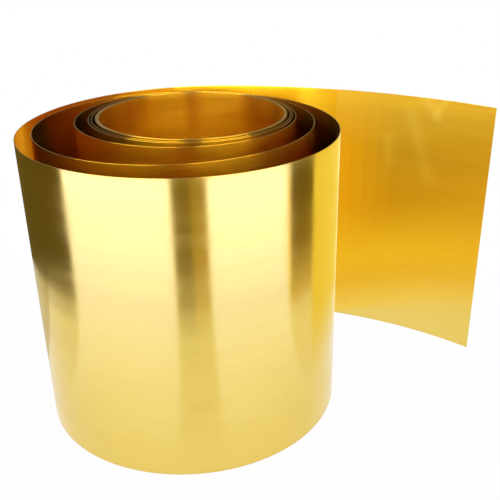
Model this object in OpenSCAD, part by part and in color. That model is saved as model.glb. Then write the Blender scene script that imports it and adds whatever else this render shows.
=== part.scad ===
// A partly unwound roll of brass strip, standing on the edge of the strip.
// The origin is on the bore's axis at the lower end, and Z runs up the bore.
// Seen from above, the strip runs clockwise from the bore out to its loose end.

/* [Strip] */
// Width of the strip, which is the height of the roll as it stands
strip_w = 200; // [60:5:400]
// Thickness of the strip
strip_t = 0.4; // [0.2:0.05:1]

/* [Tight turns] */
// Radius of the bore inside the tight turns
bore_r = 63.5; // [40:0.5:120]
// Number of turns that lie tight on each other round the bore
tight_turns = 6; // [2:1:20]
// Width of the seam line between two tight turns, on both ends of the roll
seam_w = 0.16; // [0.04:0.02:0.18]
// Depth of those seam lines
seam_depth = 0.4; // [0.2:0.1:2]

/* [Loose turns] */
// Clear gap between the tight turns and turn 1: right, front, left, back
gap_1 = [2.0, 3.7, 2.1, 0.2]; // [0.2:0.1:50]
// Clear gap between turns 1 and 2
gap_2 = [1.0, 2.2, 1.6, 0.2]; // [0.2:0.1:50]
// Clear gap between turns 2 and 3
gap_3 = [2.0, 8.7, 7.5, 0.2]; // [0.2:0.1:50]
// Clear gap between turns 3 and 4
gap_4 = [11.8, 33.6, 21.4, 0.2]; // [0.2:0.1:50]
// Clear gap between turns 4 and 5, where turn 5 leads into the loose end at the back
gap_5 = [15.6, 22.6, 7.6, 20.3]; // [0.2:0.1:50]
// How far to the right of the bore's axis turns 1 to 5 end, at the back
turn_end = [-0.4, -1.2, -3.2, -4.0, 14.5]; // [-20:0.1:20]

/* [Loose end] */
// Radius of the curve that the loose end takes
tail_r = 309; // [150:1:900]
// Length of the loose end, past the back of the last turn
tail_length = 219; // [60:1:400]

/* [Hidden] */
$fn = 240;
gaps = [gap_1, gap_2, gap_3, gap_4, gap_5];
tight_r = bore_r + tight_turns * strip_t;
// The first loose turn is sunk this far into the tight turns where it starts
root = strip_t / 4;
first_start = [0, tight_r + strip_t / 2 - root];
// A run shorter than this is only rounding
shortest_run = 0.001;
// The cutters of the seams stand this far out of the ends, where they are this wide to each side
past = 0.05;
flare = seam_w / 2 * (seam_depth + past) / seam_depth;

// Sides of the roll, in the order of the gaps
RIGHT = 0;
FRONT = 1;
LEFT = 2;
BACK = 3;

// Sum of one side's gaps inside turn k, where turn 0 is the first loose one
function gap_sum(side, k) = k < 0 ? 0 : gaps[k][side] + gap_sum(side, k - 1);
// Middle of the first layer of strip on one side. At the back, turn 0 lies on its own start.
function first_layer(side) = side == BACK ? first_start[1] + strip_t : tight_r + strip_t / 2;
// Reach of the middle of turn k from the bore's axis, on one side
function reach(side, k) = first_layer(side) + k * strip_t + gap_sum(side, k);

// Where turn k starts, at the back of the roll
function turn_start(k) = k == 0 ? first_start : [turn_end[k - 1], reach(BACK, k - 1)];

// A turn is four quarter arcs that run smoothly into each other, clockwise from the back.
// Each is given by its centre, its radius and the angle at which it starts.
function right_arc(start, k) =
    let (r = reach(RIGHT, k) - start[0])
    [[start[0], start[1] - r], r, 90];
function front_arc(start, k) =
    let (a = right_arc(start, k), r = reach(FRONT, k) + a[0][1])
    [[reach(RIGHT, k) - r, a[0][1]], r, 0];
function left_arc(start, k) =
    let (a = front_arc(start, k), r = reach(LEFT, k) + a[0][0])
    [[a[0][0], r - reach(FRONT, k)], r, -90];
// The last one fits between the left side and the end at the back, by the shorter of the two ways
function way_up(start, k) = reach(BACK, k) - left_arc(start, k)[0][1];
function way_across(k) = turn_end[k] + reach(LEFT, k);
function back_arc(start, k) =
    let (r = min(way_up(start, k), way_across(k)))
    [[r - reach(LEFT, k), reach(BACK, k) - r], r, -180];

last_start = turn_start(len(gaps));
tail_angle = tail_length / tail_r * 180 / PI;

// One stretch of strip, bent on an arc that runs clockwise from the angle start
module strip_arc(centre, r, start, angle)
    translate([centre[0], centre[1], 0])
        rotate_extrude(angle = angle, start = start - angle)
            translate([r - strip_t / 2, 0])
                square([strip_t, strip_w]);

// Where the two ways differ, the last arc of a turn has a straight run before or after it
module straight_run(start, k) {
    up = way_up(start, k);
    across = way_across(k);
    if (up - across > shortest_run)
        translate([-reach(LEFT, k) - strip_t / 2, reach(BACK, k) - up, 0])
            cube([strip_t, up - across, strip_w]);
    if (across - up > shortest_run)
        translate([turn_end[k] - (across - up), reach(BACK, k) - strip_t / 2, 0])
            cube([across - up, strip_t, strip_w]);
}

// The seam lines between the tight turns, as sharp notches in the upper end of the section
module seams()
    for (k = [1 : tight_turns - 1])
        translate([bore_r + k * strip_t, 0])
            polygon([[0, -seam_depth], [flare, past], [-flare, past]]);

module tight_roll()
    rotate_extrude()
        difference() {
            translate([bore_r, 0]) square([tight_r - bore_r, strip_w]);
            translate([0, strip_w]) seams();
            mirror([0, 1]) seams();
        }

module loose_turns()
    for (k = [0 : len(gaps) - 1])
        let (start = turn_start(k)) {
            for (a = [right_arc(start, k), front_arc(start, k), left_arc(start, k), back_arc(start, k)])
                strip_arc(a[0], a[1], a[2], 90);
            straight_run(start, k);
        }

module loose_end()
    strip_arc([last_start[0], last_start[1] - tail_r], tail_r, 90, tail_angle);

module brass_strip()
    color("goldenrod") {
        tight_roll();
        loose_turns();
        loose_end();
    }

brass_strip();
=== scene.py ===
import math

import bpy
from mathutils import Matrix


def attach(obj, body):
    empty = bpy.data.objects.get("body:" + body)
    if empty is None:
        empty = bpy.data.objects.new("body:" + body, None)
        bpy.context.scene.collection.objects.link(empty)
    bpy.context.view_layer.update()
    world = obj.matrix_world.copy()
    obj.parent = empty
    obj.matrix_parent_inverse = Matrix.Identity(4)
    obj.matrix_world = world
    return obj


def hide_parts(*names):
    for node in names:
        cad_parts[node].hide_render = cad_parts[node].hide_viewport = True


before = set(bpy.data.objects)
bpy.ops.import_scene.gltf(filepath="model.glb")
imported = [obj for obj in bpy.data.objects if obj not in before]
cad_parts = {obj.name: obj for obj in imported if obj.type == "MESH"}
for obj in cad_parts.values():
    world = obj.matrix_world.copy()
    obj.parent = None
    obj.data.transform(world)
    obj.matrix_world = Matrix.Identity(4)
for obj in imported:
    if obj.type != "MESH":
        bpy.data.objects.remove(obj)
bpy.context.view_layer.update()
print("frame loaded")

mm = 0.001

# the strip and how it is wound, all in mm
strip = {
    "width": 200.0,
    "thickness": 0.4,
    "gauge": 0.385,         # the metal itself, a hair thinner so that tight turns never share a face
    "boreRadius": 63.5,
    "tightTurns": 5.39,     # what 5 m of strip leaves for the turns round the bore
    "tightLayers": 6,       # the room that the tight turns take, in thicknesses
    "startLayer": 0.25,     # how far out of that room the middle of the first loose turn starts
    # clear gaps inside turns 1 to 5: right, front, left, back
    "gaps": [
        (2.0, 3.7, 2.1, 0.2),
        (1.0, 2.2, 1.6, 0.2),
        (2.0, 8.7, 7.5, 0.2),
        (11.8, 33.6, 21.4, 0.2),
        (15.6, 22.6, 7.6, 20.3),
    ],
    "tailRadius": 309.0,
    "tailLength": 219.0,
    "rows": 16,             # faces from edge to edge
    "stepAngle": 3.0,       # degrees of bend for each face
    "tailFineness": 3,      # the loose end bends less, so its faces are this much finer
    "edgeRound": 0.07,
    "edgeSegments": 2,
    "roundedAngle": 40,     # edges that turn by more than this are rounded
    "smoothAngle": 15,      # and those that turn by less look smooth
}
# the sides of the roll, in the order of the gaps
rightSide, frontSide, leftSide, backSide = range(4)


def selectNothing():
    if bpy.context.object and bpy.context.object.mode != "OBJECT":
        bpy.ops.object.mode_set(mode="OBJECT")
    bpy.ops.object.select_all(action="DESELECT")


def applyModifiers(piece):
    for modifier in list(piece.modifiers):
        bpy.ops.object.modifier_apply(modifier=modifier.name)


# outer radius of the tight turns and so many more layers
def layerRadius(layers):
    return strip["boreRadius"] + (strip["tightLayers"] + layers) * strip["thickness"]


# how far the middle of a loose turn lies from the bore's axis on one side
def reachOf(side, turn):
    firstLayer = 1 + strip["startLayer"] if side == backSide else 0.5
    gaps = sum(strip["gaps"][inner][side] for inner in range(turn + 1))
    return layerRadius(firstLayer + turn) + gaps


# arcs as (centre x, centre y, degrees), each one starting where the last one ended and running clockwise
def looseArcs():
    arcs = []
    x = 0.0
    y = layerRadius(strip["startLayer"])
    for turn in range(len(strip["gaps"])):
        right = reachOf(rightSide, turn)
        front = reachOf(frontSide, turn)
        left = reachOf(leftSide, turn)
        back = reachOf(backSide, turn)
        rightY = y - (right - x)
        frontX = right - (front + rightY)
        leftY = left + frontX - front
        backX = back - leftY - left
        arcs += [(x, rightY, 90), (frontX, rightY, 90), (frontX, leftY, 90), (backX, leftY, 90)]
        x = backX
        y = back
    tailAngle = math.degrees(strip["tailLength"] / strip["tailRadius"])
    arcs.append((x, y - strip["tailRadius"], tailAngle))
    return arcs


# the tight turns are half circles about two centres, so that the strip creeps out by its thickness a turn
def tightArcs():
    creep = strip["thickness"] / 4
    arcs = []
    halves = math.floor(strip["tightTurns"] * 2)
    rest = (strip["tightTurns"] * 2 - halves) * 180
    for half in range(halves + 1):
        centreY = creep if (halves - half) % 2 == 0 else -creep
        arcs.append((0.0, centreY, 180 if half else rest))
    return arcs


# winds the strip: one upright edge, spun round each centre in turn
def windStrip():
    selectNothing()
    layer = strip["thickness"] * mm
    width = strip["width"] * mm
    tight = tightArcs()
    loose = looseArcs()
    outerStart = layerRadius(strip["startLayer"]) * mm
    firstRadius = outerStart - layer / 4 - (len(tight) - 1) * layer / 2
    startAngle = math.radians(90 + tight[0][2])
    startX = firstRadius * math.cos(startAngle)
    startY = tight[0][1] * mm + firstRadius * math.sin(startAngle)

    middle = (startX, startY, width / 2)
    bpy.ops.mesh.primitive_plane_add(size=width, location=middle, rotation=(math.pi / 2, 0, 0))
    piece = bpy.context.object
    piece.name = "brassStripWound"
    bpy.ops.object.transform_apply(location=True, rotation=True, scale=True)
    bpy.ops.object.mode_set(mode="EDIT")
    bpy.ops.mesh.select_all(action="SELECT")
    # the plane is narrowed to nothing and merged, which leaves its upright edge
    bpy.ops.transform.resize(value=(0, 1, 1), center_override=middle)
    bpy.ops.mesh.remove_doubles(threshold=1e-6)
    bpy.ops.mesh.select_all(action="SELECT")
    bpy.ops.mesh.subdivide(number_cuts=strip["rows"] - 1)
    for centreX, centreY, degrees in tight + loose:
        steps = max(1, round(degrees / strip["stepAngle"]))
        if (centreX, centreY, degrees) == loose[-1]:
            steps *= strip["tailFineness"]
        bpy.ops.mesh.spin(
            steps=steps,
            angle=math.radians(degrees),
            center=(centreX * mm, centreY * mm, 0),
            axis=(0, 0, 1))
    bpy.ops.object.mode_set(mode="OBJECT")
    return piece


# gives the strip its thickness and takes the sharpness off its edges
def thickenStrip(piece):
    selectNothing()
    bpy.context.view_layer.objects.active = piece
    piece.select_set(True)
    bpy.ops.object.mode_set(mode="EDIT")
    bpy.ops.mesh.select_all(action="SELECT")
    bpy.ops.mesh.normals_make_consistent(inside=False)
    bpy.ops.object.mode_set(mode="OBJECT")
    wall = piece.modifiers.new("wall", "SOLIDIFY")
    wall.thickness = strip["gauge"] * mm
    wall.offset = 0
    wall.use_even_offset = True
    rim = piece.modifiers.new("rim", "BEVEL")
    rim.width = strip["edgeRound"] * mm
    rim.segments = strip["edgeSegments"]
    rim.limit_method = "ANGLE"
    rim.angle_limit = math.radians(strip["roundedAngle"])
    applyModifiers(piece)
    bpy.ops.object.shade_smooth_by_angle(angle=math.radians(strip["smoothAngle"]))


# bright rolled brass
brass = {
    "colour": (0.84, 0.63, 0.155, 1),
    "deepColour": (0.81, 0.585, 0.125, 1),
    "handledColour": (0.76, 0.53, 0.12, 1),
    # painted highlight for the kinks on the loose end
    "kinkHighlightColour": (0.93, 0.78, 0.36, 1),
    # painted shade for the slit edges, darker than the metal
    "shadedEdgeColour": (0.50, 0.36, 0.13, 1),
    "roughness": 0.20,
    "streakRoughness": 0.045,
    "handledRoughness": 0.05,
    "edgeRoughness": 0.34,
    "anisotropic": 0.78,
    "anisotropicTurn": 0.25,
    # noises: how fine along the strip and across it, in waves for each metre, then detail and seed
    "grain": (7, 900, 3, 0.0),      # rolling lines
    "streaks": (5, 60, 4, 3.1),
    "patches": (9, 5, 2, 7.7),      # long patches of tone
    "marks": (26, 38, 5, 11.3),     # where hands have touched it
    "waves": (11, 4, 1, 5.9),       # slow waves of thin metal
    # the part of each noise that counts, from where nothing shows to where all of it does
    "grainRange": (0.3, 0.7),
    "streakRange": (0.3, 0.7),
    "patchRange": (0.35, 0.65),
    "markRange": (0.58, 0.74),
    "markShare": 0.35,
    # how much painted highlight lies along the kinks
    "kinkHighlightShare": 0.42,
    "edgeMargin": 0.004,            # the strip is duller this near its edges
    "edgeSlope": (0.3, 0.7),        # how level a face is where the slit edge begins and where it is whole
    "grainHeight": 0.00001,
    "waveHeight": 0.0003,
    "kinkHeight": 0.00015,
    # where the loose end has been kinked in handling, each kink a small bump with a painted highlight
    # along it: from and to, across and up, and half the width
    "kinks": [
        ((0.1680, 0.203), (0.1840, 0.178), 0.0070),
        ((0.1860, 0.204), (0.1760, 0.180), 0.0050),
        ((0.1580, 0.198), (0.1800, 0.124), 0.0075),
        ((0.1455, 0.172), (0.1490, 0.140), 0.0080),
    ],
}


# gives a socket its value, or the output that it reads
def feed(links, socket, value):
    if isinstance(value, (int, float, tuple)):
        socket.default_value = value
    else:
        links.new(value, socket)


# noise on the piece's own coordinates
def stretchedNoise(nodes, links, place, along, across, detail, seed):
    stretch = nodes.new("ShaderNodeMapping")
    stretch.inputs["Location"].default_value = (seed, seed * 1.7, seed * 2.3)
    stretch.inputs["Scale"].default_value = (along, along, across)
    links.new(place.outputs["Object"], stretch.inputs["Vector"])
    noise = nodes.new("ShaderNodeTexNoise")
    noise.inputs["Scale"].default_value = 1
    noise.inputs["Detail"].default_value = detail
    links.new(stretch.outputs["Vector"], noise.inputs["Vector"])
    return noise.outputs["Fac"]


def remapped(nodes, links, value, fromLow, fromHigh, low, high, shape="LINEAR"):
    spread = nodes.new("ShaderNodeMapRange")
    spread.interpolation_type = shape
    spread.inputs["From Min"].default_value = fromLow
    spread.inputs["From Max"].default_value = fromHigh
    feed(links, spread.inputs["To Min"], low)
    feed(links, spread.inputs["To Max"], high)
    links.new(value, spread.inputs["Value"])
    return spread.outputs["Result"]


def smoothStep(nodes, links, value, fromLow, fromHigh, low, high):
    return remapped(nodes, links, value, fromLow, fromHigh, low, high, "SMOOTHSTEP")


def calculated(nodes, links, operation, first, second=0):
    step = nodes.new("ShaderNodeMath")
    step.operation = operation
    feed(links, step.inputs[0], first)
    feed(links, step.inputs[1], second)
    return step.outputs[0]


def mixedColour(nodes, links, share, first, second):
    blend = nodes.new("ShaderNodeMix")
    blend.data_type = "RGBA"
    links.new(share, blend.inputs[0])
    feed(links, blend.inputs[6], first)
    feed(links, blend.inputs[7], second)
    return blend.outputs[2]


# one coordinate of a vector
def coordinate(nodes, links, vector, axis):
    apart = nodes.new("ShaderNodeSeparateXYZ")
    links.new(vector, apart.inputs[0])
    return apart.outputs[axis]


# how far each point lies from a place
def distanceFrom(nodes, links, place, spot):
    away = nodes.new("ShaderNodeVectorMath")
    away.operation = "DISTANCE"
    away.inputs[1].default_value = spot
    links.new(place.outputs["Object"], away.inputs[0])
    return away.outputs["Value"]


# a soft fold along a straight line on the loose end, seen from the front, as the mask for its bump and for
# its painted highlight
def foldAlong(nodes, links, place, start, end, halfWidth):
    runX = end[0] - start[0]
    runZ = end[1] - start[1]
    length = math.hypot(runX, runZ)
    values = []
    for direction in ((runX / length, 0, runZ / length), (runZ / length, 0, -runX / length)):
        along = nodes.new("ShaderNodeVectorMath")
        along.operation = "DOT_PRODUCT"
        along.inputs[1].default_value = direction
        links.new(place.outputs["Object"], along.inputs[0])
        origin = direction[0] * start[0] + direction[2] * start[1]
        values.append(calculated(nodes, links, "SUBTRACT", along.outputs["Value"], origin))
    fromMiddle = calculated(nodes, links, "SUBTRACT", values[0], length / 2)
    fromMiddle = calculated(nodes, links, "ABSOLUTE", fromMiddle)
    inside = smoothStep(nodes, links, fromMiddle, length / 4, length / 2, 1, 0)
    aside = calculated(nodes, links, "ABSOLUTE", values[1])
    ridge = smoothStep(nodes, links, aside, 0, halfWidth, 1, 0)
    return calculated(nodes, links, "MULTIPLY", ridge, inside)


def makeBrass():
    material = bpy.data.materials.new("rolledBrass")
    material.use_nodes = True
    nodes = material.node_tree.nodes
    links = material.node_tree.links
    shader = nodes["Principled BSDF"]
    shader.inputs["Metallic"].default_value = 1
    shader.inputs["Anisotropic"].default_value = brass["anisotropic"]
    shader.inputs["Anisotropic Rotation"].default_value = brass["anisotropicTurn"]
    place = nodes.new("ShaderNodeTexCoord")
    surface = nodes.new("ShaderNodeNewGeometry")

    grain = stretchedNoise(nodes, links, place, *brass["grain"])
    streaks = stretchedNoise(nodes, links, place, *brass["streaks"])
    patches = stretchedNoise(nodes, links, place, *brass["patches"])
    marks = stretchedNoise(nodes, links, place, *brass["marks"])
    waves = stretchedNoise(nodes, links, place, *brass["waves"])
    handled = remapped(nodes, links, marks, *brass["markRange"], 0, 1)

    # the slit edges face up and down; they are rougher, and darker with painted shade, and the strip is
    # duller near them
    level = coordinate(nodes, links, surface.outputs["True Normal"], "Z")
    level = calculated(nodes, links, "ABSOLUTE", level)
    slitEdgeRoughAndShaded = remapped(nodes, links, level, *brass["edgeSlope"], 0, 1)
    halfStrip = strip["width"] / 2 * mm
    height = coordinate(nodes, links, place.outputs["Object"], "Z")
    fromMiddle = calculated(nodes, links, "SUBTRACT", height, halfStrip)
    fromMiddle = calculated(nodes, links, "ABSOLUTE", fromMiddle)
    nearEdge = remapped(nodes, links, fromMiddle, halfStrip - brass["edgeMargin"], halfStrip, 0, 1)
    worn = calculated(nodes, links, "MULTIPLY", nearEdge, streaks)

    tone = remapped(nodes, links, patches, *brass["patchRange"], 0, 0.5)
    lines = remapped(nodes, links, grain, *brass["grainRange"], 0, 0.5)
    tone = calculated(nodes, links, "ADD", tone, lines)
    colour = mixedColour(nodes, links, tone, brass["colour"], brass["deepColour"])
    dull = calculated(nodes, links, "MULTIPLY", handled, brass["markShare"])
    dull = calculated(nodes, links, "MAXIMUM", dull, worn)
    colour = mixedColour(nodes, links, dull, colour, brass["handledColour"])
    # the level slit edges get a darker colour, a painted shade against the light that they catch from
    # above
    colour = mixedColour(nodes, links, slitEdgeRoughAndShaded, colour, brass["shadedEdgeColour"])
    foldsAndHighlights = 0
    for kink in brass["kinks"]:
        fold = foldAlong(nodes, links, place, *kink)
        foldsAndHighlights = calculated(nodes, links, "ADD", foldsAndHighlights, fold)
    # a paler colour along the kinks is a painted highlight, standing in for the light that they catch
    paintedKinkHighlight = calculated(nodes, links, "MULTIPLY", foldsAndHighlights, brass["kinkHighlightShare"])
    colour = mixedColour(nodes, links, paintedKinkHighlight, colour, brass["kinkHighlightColour"])
    links.new(colour, shader.inputs["Base Color"])

    smoothest = brass["roughness"] - brass["streakRoughness"]
    roughest = brass["roughness"] + brass["streakRoughness"]
    roughness = remapped(nodes, links, streaks, *brass["streakRange"], smoothest, roughest)
    more = calculated(nodes, links, "MULTIPLY", dull, brass["handledRoughness"])
    roughness = calculated(nodes, links, "ADD", roughness, more)
    edge = calculated(nodes, links, "MULTIPLY", slitEdgeRoughAndShaded, brass["edgeRoughness"])
    roughness = calculated(nodes, links, "MAXIMUM", roughness, edge)
    links.new(roughness, shader.inputs["Roughness"])

    relief = ((foldsAndHighlights, brass["kinkHeight"]), (waves, brass["waveHeight"]), (grain, brass["grainHeight"]))
    normal = None
    for height, distance in relief:
        bump = nodes.new("ShaderNodeBump")
        bump.inputs["Strength"].default_value = 1
        bump.inputs["Distance"].default_value = distance
        links.new(height, bump.inputs["Height"])
        if normal is not None:
            links.new(normal, bump.inputs["Normal"])
        normal = bump.outputs["Normal"]
    links.new(normal, shader.inputs["Normal"])
    return material


wound = windStrip()
print("strip wound:", len(wound.data.polygons), "faces")
thickenStrip(wound)
wound.data.materials.clear()
wound.data.materials.append(makeBrass())
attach(wound, "root")
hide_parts("brass_strip")
print("strip finished:", len(wound.data.polygons), "faces")

# the set, in metres. Azimuth 0 looks from the roll to the camera's side, and positive turns to the right
studio = {
    "middle": (-0.004, -0.027),
    "floorSize": 6.0,
    "floorDrop": 0.0002,
    "floorColour": (0.86, 0.86, 0.86, 1),
    # how much of the floor shows as plain white: under the roll, round it, and far off
    "whiteShare": (0.975, 0.988, 1.0),
    "whiteRadius": (0.12, 0.16, 0.36),
    "worldLight": 0.35,
    "mirroredTint": (1.0, 0.88, 0.62, 1),
    "horizon": 0.5,
    "ceiling": 0.3,
    "ceilingFrom": 0.6,     # height over distance from where the ceiling's grey is whole
    "screenStep": 3.0,      # degrees of bend for each face of a screen
    "bounces": 24,
    "glossyBounces": 20,
    # screens bent round the roll: azimuth from and to, distance and height at the foot, the same at the
    # head, and the light that they give at the foot and at the head
    "screens": {
        "softPanelLeft": (-64.5, -1.5, 0.30, 0.0, 0.30, 0.19, (1.0, 1.08, 2.0), (2.27, 2.45, 4.53)),
        "softPanelRight": (19.0, 68.5, 0.30, 0.0, 0.30, 0.19, (1.0, 1.08, 2.0), (2.27, 2.45, 4.53)),
        "softApronLeft": (-64.5, -1.5, 0.135, 0.0005, 0.30, 0.0005, (1.0, 1.0, 1.0), (1.22, 1.30, 2.05)),
        "softApronRight": (19.0, 69.0, 0.135, 0.0005, 0.30, 0.0005, (1.0, 1.0, 1.0), (1.22, 1.30, 2.05)),
        "dullApronLeft": (-150, -97, 0.13, 0.0005, 0.34, 0.0005, (0.72, 0.68, 0.50), (0.72, 0.68, 0.50)),
        "darkFlagLeft": (-150, -65.5, 0.30, 0.0, 0.30, 0.19, (0.12, 0.088, 0.018), (0.12, 0.088, 0.018)),
        "darkFlagMiddle": (-0.5, 9.5, 0.33, 0.0, 0.33, 0.19, (0.22, 0.155, 0.03), (0.20, 0.145, 0.025)),
        "paleFlagMiddle": (9.5, 18.0, 0.33, 0.0, 0.33, 0.19, (0.60, 0.42, 0.10), (0.22, 0.16, 0.035)),
        "darkFlagRight": (54.5, 72, 0.15, 0.125, 0.15, 0.19, (0.28, 0.20, 0.05), (0.12, 0.085, 0.02)),
        "paleFlagRight": (54.5, 72, 0.15, 0.080, 0.15, 0.125, (0.85, 0.70, 0.34), (0.28, 0.20, 0.05)),
        # a glowing gold card, a painted reflection of more of the loose end, seen in the roll's outer turn
        "tailReflectionCard": (70, 98, 0.35, 0.0, 0.35, 0.10, (1.5, 1.2, 0.28), (0.85, 0.64, 0.17)),
        "highPanelLeft": (-68.5, -4.5, 0.45, 0.30, 0.45, 0.60, (10.5, 8.0, 1.0), (10.5, 8.0, 1.0)),
        "highPanelRight": (17.5, 71.5, 0.45, 0.30, 0.45, 0.60, (10.5, 8.0, 1.0), (10.5, 8.0, 1.0)),
    },
    # a card in the mouth between the roll and the loose end, with light for the loose end on the one side
    # and for the roll on the other, from its foot up
    "mouthCard": {
        "distance": 0.15,
        # azimuth from and to, and the share of orange on its one side and of more light on its other there
        "parts": ((72.5, 116, 0.0), (116, 120, 0.2), (120, 124, 0.45), (124, 128, 0.7), (128, 133, 0.9)),
        "orange": (0.98, 0.58, 0.03),
        "orangeHeights": (0.08, 0.18),      # only between these
        "bright": (1.5, 1.6, 1.2),
        "heights": (0.0, 0.030, 0.057, 0.100, 0.154, 0.215),
        "endSide": (
            (1.08, 0.98, 0.60), (1.0, 0.73, 0.15), (1.05, 0.76, 0.10),
            (0.75, 0.45, 0.035), (0.64, 0.44, 0.07), (0.92, 0.74, 0.28)),
        "rollSide": (
            (1.0, 1.0, 1.0), (1.0, 0.93, 0.55), (1.03, 0.86, 0.18),
            (1.05, 0.88, 0.18), (1.07, 0.90, 0.19), (1.12, 0.92, 0.22)),
    },
    # a card over the back of the roll, which lights the top of the loose end behind it
    "backCard": {
        "distance": 0.107,
        "heights": (0.2006, 0.26),
        # azimuth from and to, and the light for the loose end there
        "parts": ((134, 146, (6.0, 7.2, 1.1)), (146, 158, (8.0, 9.5, 1.3)), (158, 189, (10.0, 13.5, 1.8))),
        "rollSide": (0.42, 0.37, 0.26),
    },
}


# two masks: for what the camera sees straight, and for what it sees straight, in metal or through glass
def viewerRays(nodes, links):
    rays = nodes.new("ShaderNodeLightPath")
    straight = rays.outputs["Is Camera Ray"]
    mirrored = calculated(nodes, links, "MAXIMUM", straight, rays.outputs["Is Glossy Ray"])
    return straight, calculated(nodes, links, "MAXIMUM", mirrored, rays.outputs["Is Transmission Ray"])


# a material with nothing in it but its output
def bareMaterial(name):
    material = bpy.data.materials.new(name)
    material.use_nodes = True
    nodes = material.node_tree.nodes
    nodes.remove(nodes["Principled BSDF"])
    return material, nodes, material.node_tree.links


def makeFloor():
    selectNothing()
    bpy.ops.mesh.primitive_plane_add(size=studio["floorSize"], location=(0, 0, -studio["floorDrop"]))
    floor = bpy.context.object
    floor.name = "paleFloor"
    material, nodes, links = bareMaterial("paleFloor")
    matt = nodes.new("ShaderNodeBsdfDiffuse")
    matt.inputs["Color"].default_value = studio["floorColour"]
    white = nodes.new("ShaderNodeEmission")
    place = nodes.new("ShaderNodeTexCoord")
    away = distanceFrom(nodes, links, place, (*studio["middle"], 0))
    inside, near, far = studio["whiteRadius"]
    under, around, farOff = studio["whiteShare"]
    share = smoothStep(nodes, links, away, inside, near, under, around)
    share = smoothStep(nodes, links, away, near, far, share, farOff)
    straight, viewers = viewerRays(nodes, links)
    share = calculated(nodes, links, "MULTIPLY", share, viewers)
    mix = nodes.new("ShaderNodeMixShader")
    links.new(share, mix.inputs[0])
    links.new(matt.outputs[0], mix.inputs[1])
    links.new(white.outputs[0], mix.inputs[2])
    links.new(mix.outputs[0], nodes["Material Output"].inputs["Surface"])
    floor.data.materials.append(material)


# soft light all round, which the metal sees as grey that darkens upwards
def makeWorld():
    world = bpy.context.scene.world or bpy.data.worlds.new("studio")
    bpy.context.scene.world = world
    world.use_nodes = True
    nodes = world.node_tree.nodes
    links = world.node_tree.links
    soft = nodes["Background"]
    soft.inputs["Color"].default_value = (1, 1, 1, 1)
    soft.inputs["Strength"].default_value = studio["worldLight"]
    seen = nodes.new("ShaderNodeBackground")
    place = nodes.new("ShaderNodeTexCoord")
    upward = coordinate(nodes, links, place.outputs["Generated"], "Z")
    grey = smoothStep(
        nodes, links, upward, 0, studio["ceilingFrom"], studio["horizon"], studio["ceiling"])
    straight, viewers = viewerRays(nodes, links)
    strength = calculated(nodes, links, "MAXIMUM", grey, straight)
    tint = mixedColour(nodes, links, straight, studio["mirroredTint"], (1, 1, 1, 1))
    links.new(strength, seen.inputs["Strength"])
    links.new(tint, seen.inputs["Color"])
    mix = nodes.new("ShaderNodeMixShader")
    links.new(viewers, mix.inputs[0])
    links.new(soft.outputs[0], mix.inputs[1])
    links.new(seen.outputs[0], mix.inputs[2])
    links.new(mix.outputs[0], nodes["World Output"].inputs["Surface"])


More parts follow.
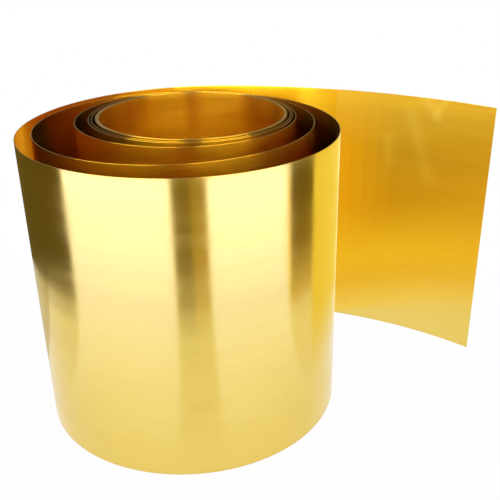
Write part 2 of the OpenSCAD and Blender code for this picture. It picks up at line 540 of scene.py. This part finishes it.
# a screen is one edge, from its foot to its head, spun about the roll. It can have other light on the
# side that faces the roll, as a pair for its foot and its head.
def makeScreen(name, first, last, footAway, foot, headAway, head, footLight, headLight, rollSide=None):
    selectNothing()
    middleX, middleY = studio["middle"]
    sideways = math.sin(math.radians(first))
    forward = -math.cos(math.radians(first))
    start = (middleX + footAway * sideways, middleY + footAway * forward, foot)
    out = headAway - footAway
    # a plane that is merged to one point and drawn out
    bpy.ops.mesh.primitive_plane_add(size=0.01, location=start)
    screen = bpy.context.object
    screen.name = name
    bpy.ops.object.transform_apply(location=True, rotation=True, scale=True)
    bpy.ops.object.mode_set(mode="EDIT")
    bpy.ops.mesh.select_mode(type="VERT")
    bpy.ops.mesh.select_all(action="SELECT")
    bpy.ops.mesh.merge(type="CENTER")
    bpy.ops.mesh.extrude_region_move(
        TRANSFORM_OT_translate={"value": (out * sideways, out * forward, head - foot)})
    bpy.ops.mesh.select_all(action="SELECT")
    bpy.ops.mesh.spin(
        steps=max(2, round((last - first) / studio["screenStep"])),
        angle=math.radians(first - last),
        center=(middleX, middleY, 0),
        axis=(0, 0, 1))
    bpy.ops.object.mode_set(mode="OBJECT")

    material, nodes, links = bareMaterial(name)
    glow = nodes.new("ShaderNodeEmission")
    place = nodes.new("ShaderNodeTexCoord")
    if foot == head:
        away = distanceFrom(nodes, links, place, (middleX, middleY, foot))
        share = remapped(nodes, links, away, footAway, headAway, 0, 1)
    else:
        height = coordinate(nodes, links, place.outputs["Object"], "Z")
        share = remapped(nodes, links, height, foot, head, 0, 1)
    colour = mixedColour(nodes, links, share, (*footLight, 1), (*headLight, 1))
    if rollSide:
        surface = nodes.new("ShaderNodeNewGeometry")
        inner = mixedColour(nodes, links, share, (*rollSide[0], 1), (*rollSide[1], 1))
        colour = mixedColour(nodes, links, surface.outputs["Backfacing"], inner, colour)
    links.new(colour, glow.inputs["Color"])
    links.new(glow.outputs[0], nodes["Material Output"].inputs["Surface"])
    screen.data.materials.append(material)
    screen.visible_camera = False
    screen.visible_diffuse = False
    screen.visible_shadow = False


# a colour on its way to another
def blended(light, goal, share):
    return tuple(value + share * (other - value) for value, other in zip(light, goal))


def makeMouthCard():
    card = studio["mouthCard"]
    away = card["distance"]
    low, high = card["orangeHeights"]
    for first, last, share in card["parts"]:
        levels = []
        for height, end, roll in zip(card["heights"], card["endSide"], card["rollSide"]):
            part = share if low < height < high else 0
            end = blended(end, card["orange"], part)
            roll = blended(roll, card["bright"], share)
            levels.append((height, end, roll))
        for (foot, footEnd, footRoll), (head, headEnd, headRoll) in zip(levels, levels[1:]):
            makeScreen(
                "mouthCard", first, last, away, foot, away, head, footEnd, headEnd, (footRoll, headRoll))


def makeBackCard():
    card = studio["backCard"]
    away = card["distance"]
    foot, head = card["heights"]
    rollSide = (card["rollSide"], card["rollSide"])
    for first, last, light in card["parts"]:
        makeScreen("backCard", first, last, away, foot, away, head, light, light, rollSide)


camera = {
    "place": (0.061812, -0.508331, 0.327908),
    "downward": 25.618,
    "lens": 53.195,
    "sensor": 36,
    "shift": (-0.0625, 0.0268),
    "nearest": 0.01,
}


def makeCamera():
    data = bpy.data.cameras.new("studioCamera")
    data.lens = camera["lens"]
    data.sensor_width = camera["sensor"]
    data.shift_x, data.shift_y = camera["shift"]
    data.clip_start = camera["nearest"]
    eye = bpy.data.objects.new("studioCamera", data)
    bpy.context.scene.collection.objects.link(eye)
    eye.location = camera["place"]
    eye.rotation_euler = (math.radians(90 - camera["downward"]), 0, 0)
    bpy.context.scene.camera = eye


makeFloor()
makeWorld()
for screenName, values in studio["screens"].items():
    makeScreen(screenName, *values)
makeMouthCard()
makeBackCard()
makeCamera()
scene = bpy.context.scene
scene.view_settings.view_transform = "Standard"
scene.cycles.max_bounces = studio["bounces"]
scene.cycles.glossy_bounces = studio["glossyBounces"]
print("set, lights and camera ready")

bpy.context.view_layer.update()
